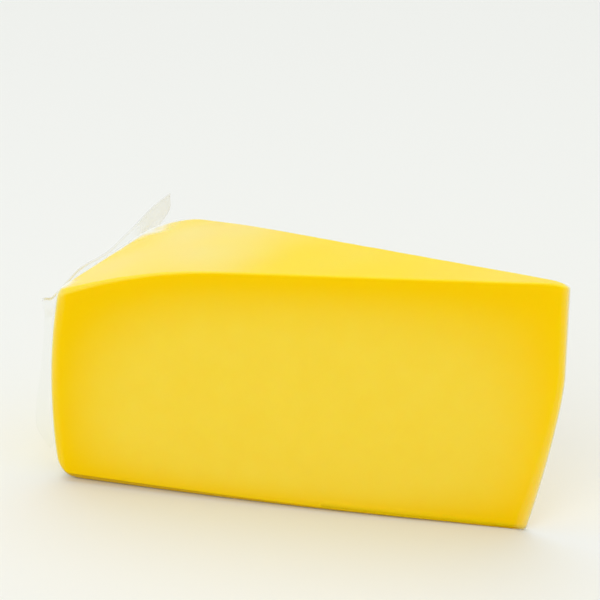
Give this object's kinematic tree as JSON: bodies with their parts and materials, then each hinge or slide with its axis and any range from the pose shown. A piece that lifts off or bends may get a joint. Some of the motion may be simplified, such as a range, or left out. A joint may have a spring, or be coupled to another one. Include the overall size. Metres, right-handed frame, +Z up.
{
  "type": "packed cheese wedge",
  "caption": "Wedge of smooth yellow semi-hard cheese cut from a wheel, sealed in clear shrink film with its surplus film folded up along the rind.",
  "frame": {"origin": "bottom centre of the whole pack's bounding box, on the surface that it stands on", "axes": "+Z up; +X along the front cut face towards the thin end; the front cut face looks along -Y; the rind and the film flap are at -X"},
  "size_m": [0.1976, 0.097, 0.0964],
  "materials": {
    "cheese": "smooth waxy cheese, slightly translucent, glossy where the tight film lies on it",
    "film": "thin clear shrink film, glossy, a little milky where it is folded or welded"
  },
  "bodies": {
    "root": {"cheese_wedge": "cheese", "film_flap": "film"}
  },
  "joints": []
}
